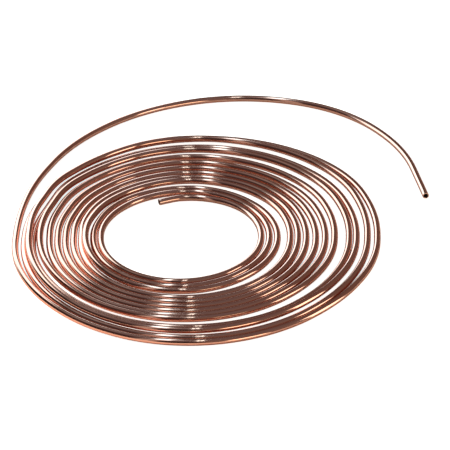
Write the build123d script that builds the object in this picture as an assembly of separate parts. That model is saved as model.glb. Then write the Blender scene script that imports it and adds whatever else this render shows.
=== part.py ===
from build123d import *
import math
import os

# A copper tube in one length, bent into a flat open spiral that lies on the floor.
# Here and there a turn rides up on the one beside it. The outermost turn springs
# away into a long loose tail. Millimetres and degrees, +Z up.
# Angles are seen from above, 0 at +X and 90 at the back; the tube runs clockwise
# from its inner end to its outer end.

# The tube's own section.
TUBE_OD = 4.76
TUBE_WALL = 0.7

# Sides on which the coil's shape is given, in the order in which the tube meets them:
# how far the tube has turned since the back.
SIDES = [0, 45, 90, 135, 180, 225, 270, 292.5, 315]

# The innermost loop: distance of the centreline from the loop's centre on each side,
# how far before the back it begins, and how much it tucks in there.
INNER_REACH = [55.0, 57.7, 54.7, 52.4, 53.0, 54.7, 57.1, 58.8, 60.0]
INNER_LEAD = 12.0
INNER_TUCK = 2.0

# Free space between neighbouring turns, from the inside outward, on each side. Where it
# is less than nothing, one of the two rides on the other.
GAPS_BACK = [2.8, 0.15, 5.2, 0.15, 1.4, 2.3, 2.7, 3.8, 3.9, 0.15, 3.8, -0.7]
GAPS_BACK_RIGHT = [0.4, 0.2, 6.7, 0.6, 0.9, 1.6, 2.6, 4.4, 5.5, 0.4, 6.1, 0.9]
GAPS_RIGHT = [1.0, 0.9, 4.1, 0.5, 1.1, 2.0, 1.8, 1.7, 5.4, 0.3, 2.9, 2.2]
GAPS_FRONT_RIGHT = [0.9, 0.5, 5.5, 0.15, 0.3, 0.4, 0.6, 0.9, 6.3, -0.3, 2.3, 0.2]
GAPS_FRONT = [1.2, 0.2, 4.0, 0.2, 0.5, 0.6, 0.2, 0.2, 4.0, 1.3, 0.7, 0.2]
GAPS_FRONT_LEFT = [0.6, 2.4, -0.2, 0.3, 0.3, 0.3, 0.3, 0.4, 2.3, 0.5, -1.2, 0.2]
GAPS_LEFT = [0.2, 0.8, -2.0, 0.7, 0.8, 0.8, 0.9, 1.9, 0.1, -2.2, -1.5, 1.6]
GAPS_SHOULDER = [0.3, -0.1, 0.5, 0.2, 0.4, 1.0, 2.1, 0.0, -1.3, 0.4, -2.1]
GAPS_BACK_LEFT = [1.2, 0.5, 1.1, 0.2, 1.3, 1.1, 3.3, 0.6, 0.8, -0.6, -0.5]

# Where the tube rides up: how far it has turned, and its rise in tube diameters.
RIDES = [(900, 0.0), (945, 0.50), (990, 0.97), (1012.5, 0.70), (1035, 0.25), (1080, 0.13), (1125, 0.0),
         (3015, 0.0), (3060, 0.24), (3105, 0.22), (3150, 0.57), (3172.5, 1.0), (3195, 0.42), (3240, 0.25),
         (3285, 0.19), (3330, 0.0), (3690, 0.0), (3735, 0.50), (3780, 0.45), (3825, 0.76), (3870, 0.94),
         (3892.5, 0.94), (3915, 0.74), (3960, 0.62), (4005, 0.13), (4050, 0.0)]

# The tail: angle run since it left the coil on the left side, and how far its
# reach has grown there.
TAIL = [(6, 0.7), (18, 4.2), (29, 10.3), (38, 17.0), (46, 24.3), (56, 35.6), (67, 48.8),
        (81.3, 66.4), (93.1, 79.6), (101.7, 87.4), (114.3, 95.2), (124.3, 96.4),
        (135.9, 90.4), (147.5, 79.2), (151.8, 74.4)]

# Straight lengths at the two cut ends.
INNER_RUN = 7.0
OUTER_RUN = 33.0

# Angle between two bends of the path, and the share of each run a bend takes.
STEP = 22.5
BEND_SHARE = 0.98


def knots_of_gaps():
    # How far the tube has turned at every side of every turn, and the space there
    # to the next turn outward.
    sides = [GAPS_BACK, GAPS_BACK_RIGHT, GAPS_RIGHT, GAPS_FRONT_RIGHT, GAPS_FRONT,
             GAPS_FRONT_LEFT, GAPS_LEFT, GAPS_SHOULDER, GAPS_BACK_LEFT]
    knots = []
    for turn in range(len(GAPS_LEFT)):
        for side, gaps in zip(SIDES, sides):
            if turn < len(gaps):
                knots.append((360 * turn + side, gaps[turn]))
    return knots


def steady(knots):
    # Slopes that keep a curve between its knots, so that no gap closes.
    out = [0.0]
    for a, b, c in zip(knots, knots[1:], knots[2:]):
        rise = (b[1] - a[1]) / (b[0] - a[0])
        fall = (c[1] - b[1]) / (c[0] - b[0])
        out.append(2 * rise * fall / (rise + fall) if rise * fall > 0 else 0.0)
    return out + [0.0]


def flowing(knots, first):
    # Slopes that let a curve flow through its knots.
    out = [first]
    for a, c in zip(knots, knots[2:]):
        out.append((c[1] - a[1]) / (c[0] - a[0]))
    return out + [(knots[-1][1] - knots[-2][1]) / (knots[-1][0] - knots[-2][0])]


def between(knots, rises, x):
    # The curve's value at x.
    i = max([n for n in range(len(knots) - 1) if knots[n][0] <= x] or [0])
    width = knots[i + 1][0] - knots[i][0]
    t = (x - knots[i][0]) / width
    return ((2 * t**3 - 3 * t**2 + 1) * knots[i][1] + (t**3 - 2 * t**2 + t) * width * rises[i]
            + (3 * t**2 - 2 * t**3) * knots[i + 1][1] + (t**3 - t**2) * width * rises[i + 1])


GAPS = knots_of_gaps()
GAP_RISES = steady(GAPS)
RIDE_RISES = steady(RIDES)
INNER = [(-INNER_LEAD, INNER_REACH[0] - INNER_TUCK)] + list(zip(SIDES, INNER_REACH))
INNER.append((360, INNER_REACH[0] + TUBE_OD + GAPS_BACK[0]))
INNER_RISES = flowing(INNER, INNER_TUCK / INNER_LEAD)
LEAVES = 360 * len(GAPS_LEFT) + 270


def coil_reach(turned):
    # Each turn is the one inside it, plus the tube and the gap between them.
    if turned <= 360:
        return between(INNER, INNER_RISES, turned)
    return coil_reach(turned - 360) + TUBE_OD + between(GAPS, GAP_RISES, turned - 360)


TAIL_KNOTS = [(0.0, 0.0)] + TAIL
TAIL_RISES = flowing(TAIL_KNOTS, (coil_reach(LEAVES) - coil_reach(LEAVES - 0.1)) / 0.1)


def centre_point(turned):
    # The tube's centreline after turning so far since the back.
    if turned <= LEAVES:
        reach = coil_reach(turned)
    else:
        reach = coil_reach(LEAVES) + between(TAIL_KNOTS, TAIL_RISES, turned - LEAVES)
    raised = RIDES[0][0] < turned < RIDES[-1][0]
    lift = between(RIDES, RIDE_RISES, turned) if raised else 0.0
    angle = math.radians(90 - turned)
    return Vector(reach * math.cos(angle), reach * math.sin(angle), TUBE_OD * (0.5 + lift))


def meeting(p, d, q, e):
    # Where the line from p along d meets the line from q along e, seen from above.
    cross = d.X * e.Y - d.Y * e.X
    far = ((q.X - p.X) * e.Y - (q.Y - p.Y) * e.X) / cross
    return Vector(p.X + d.X * far, p.Y + d.Y * far, (p.Z + q.Z) / 2)


def marks():
    # Points of the centreline and headings seen from above, one STEP apart.
    end = LEAVES + TAIL[-1][0]
    places = [-INNER_LEAD] + [STEP * i for i in range(int(end / STEP) + 1)] + [end]
    out = []
    for turned in places:
        heading = centre_point(turned + 0.01) - centre_point(turned - 0.01)
        out.append((centre_point(turned), Vector(heading.X, heading.Y, 0).normalized()))
    return out


def path_points():
    # Straight runs touch the spiral at its marks and meet halfway between them.
    spots = marks()
    points = [spots[0][0] - spots[0][1] * INNER_RUN]
    for (p, d), (q, e) in zip(spots, spots[1:]):
        points.append(meeting(p, d, q, e))
    points.append(spots[-1][0] + spots[-1][1] * OUTER_RUN)
    radii = []
    for i in range(1, len(points) - 1):
        before = points[i] - points[i - 1]
        after = points[i + 1] - points[i]
        run = BEND_SHARE * min((points[i] - spots[i - 1][0]).length, (spots[i][0] - points[i]).length)
        radii.append(run / math.tan(math.radians(before.get_angle(after) / 2)))
    return points, radii


def copper_tube():
    points, radii = path_points()
    path = FilletPolyline(*points, radius=radii)
    section = Circle(TUBE_OD / 2) - Circle(TUBE_OD / 2 - TUBE_WALL)
    tube = sweep(Plane(origin=path @ 0, z_dir=path % 0) * section, path=path)
    print("bend radii", [round(r, 1) for r in radii])
    print("length", round(path.length, 1), "volume", round(tube.volume, 1),
          "section times length", round(section.area * path.length, 1))
    middle = tube.bounding_box().center()
    print("loop centre", -middle.X, -middle.Y, "outer end", points[-1] - middle,
          "heading", (points[-1] - points[-2]).normalized())
    return Pos(-middle.X, -middle.Y, 0) * tube


os.makedirs("parts", exist_ok=True)
tube = copper_tube()
box = tube.bounding_box()
print("size", box.size, "from", box.min, "to", box.max)
export_step(tube, "parts/copper_tube.step")
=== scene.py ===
import math

import bpy
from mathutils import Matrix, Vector


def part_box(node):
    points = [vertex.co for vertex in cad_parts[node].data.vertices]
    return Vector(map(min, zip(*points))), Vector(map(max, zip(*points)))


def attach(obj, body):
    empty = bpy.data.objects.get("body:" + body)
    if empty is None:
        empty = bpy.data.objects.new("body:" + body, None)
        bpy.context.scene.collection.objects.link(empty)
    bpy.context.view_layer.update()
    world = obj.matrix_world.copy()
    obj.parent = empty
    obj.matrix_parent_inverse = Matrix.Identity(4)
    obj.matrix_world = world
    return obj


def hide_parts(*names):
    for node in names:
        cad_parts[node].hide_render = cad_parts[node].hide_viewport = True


MM = 0.001

# The tube's own section, in millimetres.
TUBE_OD = 4.76
TUBE_WALL = 0.7

# The coil's path, as in the part's source, in millimetres and degrees: the sides on
# which it is given, the innermost loop, and the free space between neighbouring turns
# from the inside outward. Less than nothing means that one turn rides on the other.
SIDES = [0, 45, 90, 135, 180, 225, 270, 292.5, 315]
INNER_REACH = [55.0, 57.7, 54.7, 52.4, 53.0, 54.7, 57.1, 58.8, 60.0]
INNER_LEAD = 12.0
INNER_TUCK = 2.0
GAPS_BACK = [2.8, 0.15, 5.2, 0.15, 1.4, 2.3, 2.7, 3.8, 3.9, 0.15, 3.8, -0.7]
GAPS_BACK_RIGHT = [0.4, 0.2, 6.7, 0.6, 0.9, 1.6, 2.6, 4.4, 5.5, 0.4, 6.1, 0.9]
GAPS_RIGHT = [1.0, 0.9, 4.1, 0.5, 1.1, 2.0, 1.8, 1.7, 5.4, 0.3, 2.9, 2.2]
GAPS_FRONT_RIGHT = [0.9, 0.5, 5.5, 0.15, 0.3, 0.4, 0.6, 0.9, 6.3, -0.3, 2.3, 0.2]
GAPS_FRONT = [1.2, 0.2, 4.0, 0.2, 0.5, 0.6, 0.2, 0.2, 4.0, 1.3, 0.7, 0.2]
GAPS_FRONT_LEFT = [0.6, 2.4, -0.2, 0.3, 0.3, 0.3, 0.3, 0.4, 2.3, 0.5, -1.2, 0.2]
GAPS_LEFT = [0.2, 0.8, -2.0, 0.7, 0.8, 0.8, 0.9, 1.9, 0.1, -2.2, -1.5, 1.6]
GAPS_SHOULDER = [0.3, -0.1, 0.5, 0.2, 0.4, 1.0, 2.1, 0.0, -1.3, 0.4, -2.1]
GAPS_BACK_LEFT = [1.2, 0.5, 1.1, 0.2, 1.3, 1.1, 3.3, 0.6, 0.8, -0.6, -0.5]

# Where the tube rides up: how far it has turned, and its rise in tube diameters.
RIDES = [(900, 0.0), (945, 0.50), (990, 0.97), (1012.5, 0.70), (1035, 0.25), (1080, 0.13), (1125, 0.0),
         (3015, 0.0), (3060, 0.24), (3105, 0.22), (3150, 0.57), (3172.5, 1.0), (3195, 0.42), (3240, 0.25),
         (3285, 0.19), (3330, 0.0), (3690, 0.0), (3735, 0.50), (3780, 0.45), (3825, 0.76), (3870, 0.94),
         (3892.5, 0.94), (3915, 0.74), (3960, 0.62), (4005, 0.13), (4050, 0.0)]

# The tail: angle run since it left the coil, and how far its reach has grown there.
TAIL = [(6, 0.7), (18, 4.2), (29, 10.3), (38, 17.0), (46, 24.3), (56, 35.6), (67, 48.8),
        (81.3, 66.4), (93.1, 79.6), (101.7, 87.4), (114.3, 95.2), (124.3, 96.4),
        (135.9, 90.4), (147.5, 79.2), (151.8, 74.4)]
# The straight runs at the two ends, the angle between the path's own points, and how much
# of the way from its corner to the nearer of those points each bend takes up.
INNER_RUN = 7.0
OUTER_RUN = 33.0
STEP = 22.5
BEND_SHARE = 0.98
# Small angles over which headings and slopes are measured.
HEADING_STEP = 0.01
SLOPE_STEP = 0.1

# How finely the shown tube is divided, and how its cut rims are rounded.
RING_STEP = 4.5
OUTSIDE_SIDES = 32
RIM_ROUND = 0.22
RIM_RINGS = 3
# How far the shown tube stays inside the solid one, so that its box does too.
INSIDE_SOLID = 0.02
# Added to the share of the way round on the bore's faces, by which the material knows
# them: it changes between two values above the outside's 1 and below the bore's.
BORE_SHARE = 2.0
BORE_CHANGE = (1.2, 1.6)

# The copper's patterns: how fine they are round the tube and along each metre of it, and
# their detail and roughness.
TONE_PATTERN = (0.7, 9.0, 3.0, 0.55)
LINE_PATTERN = (11.0, 2.6, 4.0, 0.65)
SMEAR_PATTERN = (1.6, 55.0, 3.0, 0.6)
SPECK_PATTERN = (5.0, 1900.0, 1.0, 0.5)
# Its two main tones, and where in the first pattern one gives way to the other.
COPPER_TONES = ((0.94, 0.475, 0.34, 1), (0.89, 0.425, 0.295, 1))
TONE_CHANGE = (0.35, 0.66)
# What lies over them: where in its pattern each comes in and where it is full, how much
# of it shows there, and its colour.
LINES = (0.50, 0.80, 0.22, (0.70, 0.36, 0.26, 1))
SMEARS = (0.55, 0.78, 0.35, (0.82, 0.50, 0.38, 1))
SPECKS = (0.74, 0.80, 0.5, (0.42, 0.20, 0.14, 1))
# The worn ends: metres from the cut within which they are full and past which there is
# none, how much shows, and colour. Then the painted shade inside the bore: a near-black colour that stands
# in for the shade there.
WORN_FULL = 0.001
WORN_NONE = 0.016
WORN_SHARE = 0.25
WORN_TONE = (0.88, 0.60, 0.48, 1)
BORE_PAINTED_SHADE = (0.10, 0.05, 0.04, 1)
# Its roughness: clean and smeared, where in the smears' and lines' patterns each comes in
# and is full, and what the lines, the worn ends and the bore add.
CLEAN_ROUGHNESS = 0.065
SMEARED_ROUGHNESS = 0.12
SMEARS_DULL = (0.40, 0.75)
LINES_DULL = (0.50, 0.78)
LINE_ROUGHNESS = 0.03
WORN_ROUGHNESS = 0.06
BORE_ROUGHNESS = 0.4
# Its relief: how much of it the lines are and how much the specks on the worn ends, its
# strength, and its depth in metres.
LINE_RELIEF = 0.6
SPECK_RELIEF = 1.6
RELIEF_STRENGTH = 0.02
RELIEF_DEPTH = 0.00006

# Camera: angle above the floor, distance in metres, lens and sensor in millimetres, and
# the point it looks at, from the loop's centre.
VIEW_ELEVATION = 32.5
VIEW_DISTANCE = 1.657
VIEW_LENS = 188.0
SENSOR_WIDTH = 36.0
AIM_FROM_LOOP = (0.0296, 0.0225, 0)

# The studio, by direction, in degrees: azimuth 0 is straight behind the coil, minus is
# to its left, and 180 is on the camera's side.
ROOM = (0.042, 0.035, 0.037)
# What the ceiling adds, the height at which it begins and the height at which it is full.
CEILING = (0.10, 0.11, 0.135)
CEILING_FROM = 38.0
CEILING_FULL = 75.0
# Walls, windows and lamps: azimuth, height, width, tallness, softness of the sides and
# of the top and foot, colour.
LIGHTS = [(-50.0, 55.0, 80.0, 20.0, 20.0, 14.0, (0.14, 0.18, 0.20)),
          (42.0, 24.0, 90.0, 62.0, 30.0, 44.0, (0.105, 0.078, 0.068)),
          (130.0, 15.0, 90.0, 80.0, 20.0, 30.0, (0.13, 0.12, 0.11)),
          (146.0, 0.0, 22.0, 32.0, 8.0, 10.0, (2.60, 2.60, 2.10)),
          (-152.0, 20.0, 12.0, 130.0, 8.0, 10.0, (0.44, 0.46, 0.46)),
          (-95.0, 84.0, 130.0, 14.0, 12.0, 10.0, (0.20, 0.32, 0.38))]
# Long narrow lamps overhead, which the metal mirrors as short bright dashes: how far
# they lean to the side and how wide and soft they are, the angle over the top at their
# middle, their length and softness in degrees, and colour.
STRIPS = [(-0.165, 0.10, 0.03, 80.0, 50.0, 14.0, (1.60, 2.90, 3.80)),
          (0.036, 0.013, 0.006, 97.0, 44.0, 10.0, (2.20, 3.60, 4.20)),
          (0.062, 0.013, 0.006, 97.0, 44.0, 10.0, (2.20, 3.60, 4.20))]
# The floor: size in metres, its paint's two tones and how fine their grain is.
FLOOR_SIZE = 12.0
FLOOR_TONES = ((0.88, 0.70, 0.58, 1), (0.92, 0.74, 0.62, 1))
FLOOR_GRAIN = 900.0
# Its own glow, which whitens it: the strength and colour that the camera sees, and the
# share and warmer colour that the metal mirrors.
FLOOR_GLOW = 0.97
FLOOR_SEEN = (1.0, 0.985, 0.96, 1)
GLOSSY_SHARE = 0.04
FLOOR_MIRRORED = (1.0, 0.80, 0.66, 1)
# The lit walls to the left and right: two ends from the loop's centre, height, colour.
WALLS = [((-0.325, 0.084), (-0.015, 0.770), 0.42, (1.70, 2.50, 3.00, 1)),
         ((0.330, -0.170), (0.360, -0.040), 0.24, (2.30, 2.50, 2.30, 1))]
WALL_PAINT = (0.1, 0.1, 0.1, 1)
# How much of a wall's width, at either side, and of its height, at the top, fades out.
SIDE_FADE = 0.12
TOP_FADE = 0.20
# The lamp that lights the floor: azimuth, height, strength and softness.
LAMP = (-62.0, 36.0, 4.5, 16.0)


def knots_of_gaps():
    # Every gap with the angle at which it is given, from the start of the coil outward.
    sides = [GAPS_BACK, GAPS_BACK_RIGHT, GAPS_RIGHT, GAPS_FRONT_RIGHT, GAPS_FRONT,
             GAPS_FRONT_LEFT, GAPS_LEFT, GAPS_SHOULDER, GAPS_BACK_LEFT]
    knots = []
    for turn in range(len(GAPS_LEFT)):
        for side, gaps in zip(SIDES, sides):
            if turn < len(gaps):
                knots.append((360 * turn + side, gaps[turn]))
    return knots


def steady(knots):
    # Slopes that keep a curve between its knots, so that no gap closes.
    out = [0.0]
    for a, b, c in zip(knots, knots[1:], knots[2:]):
        rise = (b[1] - a[1]) / (b[0] - a[0])
        fall = (c[1] - b[1]) / (c[0] - b[0])
        out.append(2 * rise * fall / (rise + fall) if rise * fall > 0 else 0.0)
    return out + [0.0]


def flowing(knots, first):
    # Slopes that let a curve flow through its knots.
    out = [first]
    for a, c in zip(knots, knots[2:]):
        out.append((c[1] - a[1]) / (c[0] - a[0]))
    return out + [(knots[-1][1] - knots[-2][1]) / (knots[-1][0] - knots[-2][0])]


def between(knots, rises, x):
    # The curve's value at x.
    i = max([n for n in range(len(knots) - 1) if knots[n][0] <= x] or [0])
    width = knots[i + 1][0] - knots[i][0]
    t = (x - knots[i][0]) / width
    return ((2 * t**3 - 3 * t**2 + 1) * knots[i][1] + (t**3 - 2 * t**2 + t) * width * rises[i]
            + (3 * t**2 - 2 * t**3) * knots[i + 1][1] + (t**3 - t**2) * width * rises[i + 1])


GAPS = knots_of_gaps()
GAP_RISES = steady(GAPS)
RIDE_RISES = steady(RIDES)
INNER = [(-INNER_LEAD, INNER_REACH[0] - INNER_TUCK)] + list(zip(SIDES, INNER_REACH))
INNER.append((360, INNER_REACH[0] + TUBE_OD + GAPS_BACK[0]))
INNER_RISES = flowing(INNER, INNER_TUCK / INNER_LEAD)
# The tail leaves the coil at the left of the last turn.
LEAVES = 360 * len(GAPS_LEFT) + 270


def coil_reach(turned):
    # Each turn is the one inside it, plus the tube and the gap between them.
    if turned <= 360:
        return between(INNER, INNER_RISES, turned)
    return coil_reach(turned - 360) + TUBE_OD + between(GAPS, GAP_RISES, turned - 360)


TAIL_KNOTS = [(0.0, 0.0)] + TAIL
TAIL_RISES = flowing(TAIL_KNOTS, (coil_reach(LEAVES) - coil_reach(LEAVES - SLOPE_STEP)) / SLOPE_STEP)


def centre_point(turned):
    # The tube's centreline after turning so far since the back.
    if turned <= LEAVES:
        reach = coil_reach(turned)
    else:
        reach = coil_reach(LEAVES) + between(TAIL_KNOTS, TAIL_RISES, turned - LEAVES)
    raised = RIDES[0][0] < turned < RIDES[-1][0]
    lift = between(RIDES, RIDE_RISES, turned) if raised else 0.0
    angle = math.radians(90 - turned)
    return Vector((reach * math.cos(angle), reach * math.sin(angle), TUBE_OD * (0.5 + lift)))


def meeting(p, d, q, e):
    # Where the line from p along d meets the line from q along e, seen from above.
    cross = d.x * e.y - d.y * e.x
    far = ((q.x - p.x) * e.y - (q.y - p.y) * e.x) / cross
    return Vector((p.x + d.x * far, p.y + d.y * far, (p.z + q.z) / 2))


def marks():
    # Points of the centreline and headings seen from above, one STEP apart.
    end = LEAVES + TAIL[-1][0]
    places = [-INNER_LEAD] + [STEP * i for i in range(int(end / STEP) + 1)] + [end]
    out = []
    for turned in places:
        heading = centre_point(turned + HEADING_STEP) - centre_point(turned - HEADING_STEP)
        out.append((centre_point(turned), Vector((heading.x, heading.y, 0)).normalized()))
    return out


def centreline():
    # The part's own straight runs and tangent bends, as points about RING_STEP apart.
    spots = marks()
    corners = [spots[0][0] - spots[0][1] * INNER_RUN]
    for (p, d), (q, e) in zip(spots, spots[1:]):
        corners.append(meeting(p, d, q, e))
    corners.append(spots[-1][0] + spots[-1][1] * OUTER_RUN)
    line = [corners[0]]
    for i in range(1, len(corners) - 1):
        ahead = (corners[i + 1] - corners[i]).normalized()
        along = (corners[i] - corners[i - 1]).normalized()
        bend = along.angle(ahead)
        run = BEND_SHARE * min((corners[i] - spots[i - 1][0]).length, (spots[i][0] - corners[i]).length)
        radius = run / math.tan(bend / 2)
        inward = (ahead - along * along.dot(ahead)).normalized()
        start = corners[i] - along * run
        extend(line, start)
        parts = max(2, round(radius * bend / RING_STEP))
        for k in range(1, parts + 1):
            turn = bend * k / parts
            line.append(start + along * radius * math.sin(turn) + inward * radius * (1 - math.cos(turn)))
    extend(line, corners[-1])
    return line


def extend(line, goal):
    # A straight run in pieces; one shorter than half a piece is left to the next bend.
    length = (goal - line[-1]).length
    if length < RING_STEP / 2:
        return
    parts = max(1, round(length / RING_STEP))
    begin = line[-1]
    for k in range(1, parts + 1):
        line.append(begin.lerp(goal, k / parts))


def frames(points):
    # Heading, sideways and upward directions at every point.
    out = []
    for i, p in enumerate(points):
        heading = (points[min(i + 1, len(points) - 1)] - points[max(i - 1, 0)]).normalized()
        across = heading.cross(Vector((0, 0, 1))).normalized()
        out.append((p, heading, across, across.cross(heading)))
    return out


def ring(place, radius, count, shift=0.0):
    # A circle round the path, starting at the underside.
    p, heading, across, up = place
    out = []
    for i in range(count):
        a = 2 * math.pi * i / count - math.pi / 2
        out.append(p + heading * shift + (across * math.cos(a) + up * math.sin(a)) * radius)
    return out


class Skin:
    # A mesh laid ring by ring, with a surface coordinate at every corner of a face:
    # the share of the way round the tube, and the distance along it.
    def __init__(self):
        self.verts = []
        self.faces = []
        self.corners = []

    def add_ring(self, points):
        # Gives back the number of the ring's first point.
        self.verts += [p * MM for p in points]
        return len(self.verts) - len(points)

    def add_face(self, indices, corners):
        self.faces.append(indices)
        self.corners += [(around, far * MM) for around, far in corners]

    def strip(self, a, b, count, far_a, far_b, first=0.0):
        # Between two rings of so many points, facing outward if b lies further along the
        # tube; first is added to the share of the way round.
        for i in range(count):
            j = (i + 1) % count
            near = first + i / count
            far = first + (i + 1) / count
            self.add_face((a + i, b + i, b + j, a + j),
                          ((near, far_a), (near, far_b), (far, far_b), (far, far_a)))

    def halve(self, a, b, count, far, flip):
        # A cut face, from a ring of so many points to one of half as many.
        for i in range(count // 2):
            j = (i + 1) % (count // 2)
            k = (2 * i + 2) % count
            at = [(2 * i + n) / count for n in range(3)]
            for face, corners in (((a + 2 * i, a + 2 * i + 1, b + i), (at[0], at[1], at[0])),
                                  ((a + 2 * i + 1, b + j, b + i), (at[1], at[2], at[0])),
                                  ((a + 2 * i + 1, a + k, b + j), (at[1], at[2], at[2]))):
                spots = [(around, far) for around in corners]
                self.add_face(face[::-1] if flip else face, spots[::-1] if flip else spots)


def outside_sections(places, distances, radius):
    # Where each ring of the outside lies, its radius, its shift along the tube and its
    # distance: round the rim at the inner end, along the outside, and round the other.
    rims = []
    for k in range(1, RIM_RINGS + 1):
        a = math.pi / 2 * k / RIM_RINGS
        rims.append((radius - RIM_ROUND * (1 - math.cos(a)), RIM_ROUND * (1 - math.sin(a))))
    sections = [(places[0], size, shift, 0.0) for size, shift in reversed(rims)]
    sections.append((places[0], radius, RIM_ROUND, 0.0))
    sections += [(place, radius, 0.0, far) for place, far in zip(places[1:-1], distances[1:-1])]
    sections.append((places[-1], radius, -RIM_ROUND, distances[-1]))
    sections += [(places[-1], size, -shift, distances[-1]) for size, shift in rims]
    return sections


def copper_tube():
    # The whole tube with its bore and both cut ends, in the frame's place.
    places = frames(centreline())
    distances = [0.0]
    for a, b in zip(places, places[1:]):
        distances.append(distances[-1] + (b[0] - a[0]).length)
    radius = TUBE_OD / 2 - INSIDE_SOLID
    bore = TUBE_OD / 2 - TUBE_WALL
    skin = Skin()

    rings = []
    for place, size, shift, far in outside_sections(places, distances, radius):
        rings.append((skin.add_ring(ring(place, size, OUTSIDE_SIDES, shift)), far))
    for (a, far_a), (b, far_b) in zip(rings, rings[1:]):
        skin.strip(a, b, OUTSIDE_SIDES, far_a, far_b)

    half = OUTSIDE_SIDES // 2
    inside = [(skin.add_ring(ring(place, bore, half)), far) for place, far in zip(places, distances)]
    for (a, far_a), (b, far_b) in zip(inside, inside[1:]):
        skin.strip(b, a, half, far_b, far_a, BORE_SHARE)
    skin.halve(rings[0][0], inside[0][0], OUTSIDE_SIDES, 0.0, False)
    skin.halve(rings[-1][0], inside[-1][0], OUTSIDE_SIDES, distances[-1], True)

    # The loop's centre goes where the tube's box has the same middle as the CAD box.
    low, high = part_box("copper_tube")
    centre = Vector((0, 0, 0))
    for axis in (0, 1):
        spread = [v[axis] for v in skin.verts]
        centre[axis] = (low[axis] + high[axis]) / 2 - (min(spread) + max(spread)) / 2

    mesh = bpy.data.meshes.new("copper_tube_skin")
    mesh.from_pydata([tuple(v + centre) for v in skin.verts], [], skin.faces)
    layer = mesh.uv_layers.new(name="along_tube")
    for spot, corner in zip(layer.data, skin.corners):
        spot.uv = corner
    mesh.polygons.foreach_set("use_smooth", [True] * len(mesh.polygons))
    mesh.update()
    tube = bpy.data.objects.new("copper_tube_skin", mesh)
    bpy.context.scene.collection.objects.link(tube)
    return tube, centre, distances[-1] * MM


class Nodes:
    # Short names for building a node tree.
    def __init__(self, tree):
        self.tree = tree

    def put(self, kind, **settings):
        node = self.tree.nodes.new(kind)
        for name, value in settings.items():
            setattr(node, name, value)
        return node

    def join(self, value, socket):
        if isinstance(value, (int, float, tuple)):
            socket.default_value = value
        else:
            self.tree.links.new(value, socket)

    def math(self, kind, *values):
        node = self.put("ShaderNodeMath", operation=kind)
        for value, socket in zip(values, node.inputs):
            self.join(value, socket)
        return node.outputs[0]

    def span(self, value, low, high, to_low=0.0, to_high=1.0):
        # A smooth step from one value to the other, between low and high.
        node = self.put("ShaderNodeMapRange", interpolation_type="SMOOTHSTEP")
        for name, item in (("Value", value), ("From Min", low), ("From Max", high),
                           ("To Min", to_low), ("To Max", to_high)):
            self.join(item, node.inputs[name])
        return node.outputs["Result"]

    def vector(self, x, y, z):
        node = self.put("ShaderNodeCombineXYZ")
        for value, socket in zip((x, y, z), node.inputs):
            self.join(value, socket)
        return node.outputs[0]

    def noise(self, place, scale, detail=2.0, roughness=0.5):
        node = self.put("ShaderNodeTexNoise")
        for name, item in (("Vector", place), ("Scale", scale),
                           ("Detail", detail), ("Roughness", roughness)):
            self.join(item, node.inputs[name])
        return node.outputs[0]

    def mix(self, share, first, second):
        node = self.put("ShaderNodeMix", data_type="RGBA")
        for index, item in ((0, share), (6, first), (7, second)):
            self.join(item, node.inputs[index])
        return node.outputs[2]


def copper(length):
    # Bright drawn copper: slow changes of tone along the tube, fine lines from drawing,
    # faint smears from handling, scuffed, duller ends, and painted shade inside the bore.
    mat = bpy.data.materials.new("drawn_copper")
    mat.use_nodes = True
    n = Nodes(mat.node_tree)
    shader = mat.node_tree.nodes["Principled BSDF"]
    place = n.put("ShaderNodeUVMap", uv_map="along_tube").outputs[0]
    split = n.put("ShaderNodeSeparateXYZ")
    n.join(place, split.inputs[0])
    around = n.math("MULTIPLY", split.outputs[0], 2 * math.pi)
    along = split.outputs[1]
    x = n.math("COSINE", around)
    y = n.math("SINE", around)

    def pattern(fine, far, detail, roughness):
        # Noise over the tube's surface that has no seam round it.
        ways = ((x, fine), (y, fine), (along, far))
        spot = n.vector(*[n.math("MULTIPLY", way, scale) for way, scale in ways])
        return n.noise(spot, 1.0, detail, roughness)

    tone = pattern(*TONE_PATTERN)
    lines = pattern(*LINE_PATTERN)
    smears = pattern(*SMEAR_PATTERN)
    specks = pattern(*SPECK_PATTERN)
    from_cut = n.math("MINIMUM", along, n.math("SUBTRACT", length, along))
    worn = n.span(from_cut, WORN_FULL, WORN_NONE, 1.0, 0.0)

    colour = n.mix(n.span(tone, *TONE_CHANGE), *COPPER_TONES)
    for noise, (low, high, most, paint) in ((lines, LINES), (smears, SMEARS), (specks, SPECKS)):
        colour = n.mix(n.span(noise, low, high, 0.0, most), colour, paint)
    colour = n.mix(n.math("MULTIPLY", worn, WORN_SHARE), colour, WORN_TONE)
    bore = n.span(split.outputs[0], *BORE_CHANGE)
    # Painted shade: the bore's faces are coloured nearly black, standing in for the shade inside the tube.
    colour = n.mix(bore, colour, BORE_PAINTED_SHADE)
    n.join(colour, shader.inputs["Base Color"])
    shader.inputs["Metallic"].default_value = 1.0

    dullness = n.span(smears, *SMEARS_DULL, CLEAN_ROUGHNESS, SMEARED_ROUGHNESS)
    dullness = n.math("ADD", dullness, n.span(lines, *LINES_DULL, 0.0, LINE_ROUGHNESS))
    dullness = n.math("ADD", dullness, n.math("MULTIPLY", worn, WORN_ROUGHNESS))
    dullness = n.math("ADD", dullness, n.math("MULTIPLY", bore, BORE_ROUGHNESS))
    n.join(dullness, shader.inputs["Roughness"])

    bump = n.put("ShaderNodeBump")
    worn_specks = n.math("MULTIPLY", n.math("MULTIPLY", specks, worn), SPECK_RELIEF)
    height = n.math("ADD", n.math("MULTIPLY", lines, LINE_RELIEF), worn_specks)
    n.join(height, bump.inputs["Height"])
    bump.inputs["Strength"].default_value = RELIEF_STRENGTH
    bump.inputs["Distance"].default_value = RELIEF_DEPTH
    n.join(bump.outputs[0], shader.inputs["Normal"])
    return mat


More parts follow.
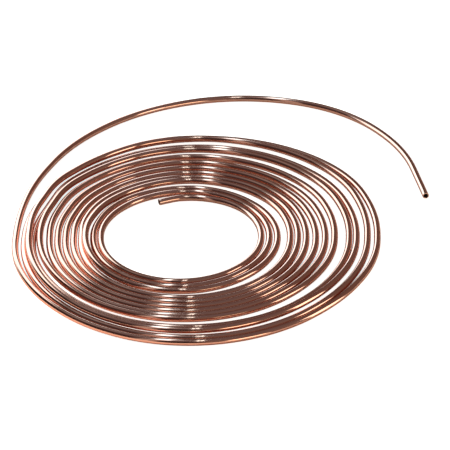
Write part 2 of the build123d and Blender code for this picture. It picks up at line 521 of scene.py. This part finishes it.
def floor():
    bpy.ops.mesh.primitive_plane_add(size=FLOOR_SIZE, location=(0, 0, 0))
    plane = bpy.context.object
    plane.name = "floor"
    mat = bpy.data.materials.new("pale_floor")
    mat.use_nodes = True
    n = Nodes(mat.node_tree)
    shader = mat.node_tree.nodes["Principled BSDF"]
    grain = n.noise(n.put("ShaderNodeTexCoord").outputs["Object"], FLOOR_GRAIN)
    n.join(n.mix(grain, *FLOOR_TONES), shader.inputs["Base Color"])
    shader.inputs["Roughness"].default_value = 0.9
    path = n.put("ShaderNodeLightPath")
    n.join(n.mix(path.outputs["Is Glossy Ray"], FLOOR_SEEN, FLOOR_MIRRORED), shader.inputs["Emission Color"])
    mirrored = n.math("MULTIPLY", path.outputs["Is Glossy Ray"], GLOSSY_SHARE)
    glow = n.math("ADD", path.outputs["Is Camera Ray"], mirrored)
    n.join(n.math("MULTIPLY", glow, FLOOR_GLOW), shader.inputs["Emission Strength"])
    plane.data.materials.append(mat)


def toward(azimuth, height):
    # The direction of a light, by its angles.
    a = math.radians(azimuth)
    h = math.radians(height)
    return (math.sin(a) * math.cos(h), math.cos(a) * math.cos(h), math.sin(h))


def studio_world():
    # A dark warm room with a paler ceiling, the walls, windows and lamps round it, and the
    # long narrow lamps overhead.
    world = bpy.data.worlds.new("studio")
    bpy.context.scene.world = world
    world.use_nodes = True
    n = Nodes(world.node_tree)
    direction = n.put("ShaderNodeTexCoord").outputs["Generated"]
    split = n.put("ShaderNodeSeparateXYZ")
    n.join(direction, split.inputs[0])
    x, y, z = split.outputs
    azimuth = n.math("DEGREES", n.math("ARCTAN2", x, y))
    height = n.math("DEGREES", n.math("ARCSINE", z))

    def window(value, middle, width, soft):
        # 1 inside a span of values and 0 outside it, half way at its edges.
        low = n.span(value, middle - (width + soft) / 2, middle - (width - soft) / 2)
        high = n.span(value, middle + (width - soft) / 2, middle + (width + soft) / 2, 1.0, 0.0)
        return n.math("MULTIPLY", low, high)

    def brighten(colour, share, light):
        # The colour with so much of the light added.
        added = n.put("ShaderNodeVectorMath", operation="MULTIPLY_ADD")
        n.join(share, added.inputs[0])
        n.join(light, added.inputs[1])
        n.join(colour, added.inputs[2])
        return added.outputs[0]

    colour = brighten(ROOM, n.span(height, CEILING_FROM, CEILING_FULL), CEILING)
    for side, top, width, tall, soft, soft_ends, light in LIGHTS:
        patch = n.math("MULTIPLY", window(azimuth, side, width, soft), window(height, top, tall, soft_ends))
        colour = brighten(colour, patch, light)
    # The metal mirrors one lean wherever the tube has one heading, on every turn alike.
    lean = n.math("DIVIDE", x, n.math("SUBTRACT", math.cos(math.radians(VIEW_ELEVATION)), y))
    over = n.math("DEGREES", n.math("ARCTAN2", z, y))
    for side, width, soft, top, tall, soft_ends, light in STRIPS:
        strip = n.math("MULTIPLY", window(lean, side, width, soft), window(over, top, tall, soft_ends))
        colour = brighten(colour, strip, light)
    n.join(colour, world.node_tree.nodes["Background"].inputs["Color"])


def lit_wall(centre, start, end, height, light):
    # An upright lit wall beside the coil, dimmer towards its sides and its top, which the
    # metal mirrors and the camera doesn't see.
    x0, y0 = start
    x1, y1 = end
    corners = [(x0, y0, 0), (x1, y1, 0), (x1, y1, height), (x0, y0, height)]
    mesh = bpy.data.meshes.new("lit_wall")
    mesh.from_pydata([tuple(Vector(p) + centre) for p in corners], [], [(0, 1, 2, 3)])
    layer = mesh.uv_layers.new(name="wall")
    for spot, corner in zip(layer.data, ((0, 0), (1, 0), (1, 1), (0, 1))):
        spot.uv = corner
    wall = bpy.data.objects.new("lit_wall", mesh)
    bpy.context.scene.collection.objects.link(wall)
    wall.visible_camera = False

    mat = bpy.data.materials.new("lit_wall")
    mat.use_nodes = True
    n = Nodes(mat.node_tree)
    shader = mat.node_tree.nodes["Principled BSDF"]
    split = n.put("ShaderNodeSeparateXYZ")
    n.join(n.put("ShaderNodeUVMap", uv_map="wall").outputs[0], split.inputs[0])
    first_side = n.span(split.outputs[0], 0.0, SIDE_FADE)
    other_side = n.span(split.outputs[0], 1.0 - SIDE_FADE, 1.0, 1.0, 0.0)
    sides = n.math("MULTIPLY", first_side, other_side)
    fade = n.math("MULTIPLY", sides, n.span(split.outputs[1], 1.0 - TOP_FADE, 1.0, 1.0, 0.0))
    shader.inputs["Base Color"].default_value = WALL_PAINT
    shader.inputs["Emission Color"].default_value = light
    n.join(fade, shader.inputs["Emission Strength"])
    wall.data.materials.append(mat)


def floor_lamp():
    # Light from the left wall's side, so that the coil's shadow lies on the floor to its
    # right; the metal mirrors the wall and not this lamp.
    azimuth, height, strength, softness = LAMP
    data = bpy.data.lights.new("floor_lamp", "SUN")
    data.energy = strength
    data.angle = math.radians(softness)
    lamp = bpy.data.objects.new("floor_lamp", data)
    bpy.context.scene.collection.objects.link(lamp)
    lamp.rotation_euler = Vector(toward(azimuth, height)).to_track_quat("Z", "Y").to_euler()
    lamp.visible_glossy = False


def camera(aim):
    data = bpy.data.cameras.new("camera")
    data.lens = VIEW_LENS
    data.sensor_width = SENSOR_WIDTH
    cam = bpy.data.objects.new("camera", data)
    bpy.context.scene.collection.objects.link(cam)
    e = math.radians(VIEW_ELEVATION)
    cam.location = aim + VIEW_DISTANCE * Vector((0, -math.cos(e), math.sin(e)))
    cam.rotation_euler = (math.pi / 2 - e, 0, 0)
    bpy.context.scene.camera = cam


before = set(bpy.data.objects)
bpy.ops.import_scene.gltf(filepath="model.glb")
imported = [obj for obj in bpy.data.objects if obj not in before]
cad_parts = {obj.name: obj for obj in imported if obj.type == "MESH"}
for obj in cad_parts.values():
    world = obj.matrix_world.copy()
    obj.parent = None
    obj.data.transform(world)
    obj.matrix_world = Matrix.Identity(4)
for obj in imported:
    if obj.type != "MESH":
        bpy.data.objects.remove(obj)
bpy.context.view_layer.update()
tube, loop_centre, tube_length = copper_tube()
tube.data.materials.append(copper(tube_length))
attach(tube, "root")
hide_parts("copper_tube")

floor()
studio_world()
for wall in WALLS:
    lit_wall(loop_centre, *wall)
floor_lamp()
camera(loop_centre + Vector(AIM_FROM_LOOP))
bpy.context.scene.view_settings.view_transform = "Standard"
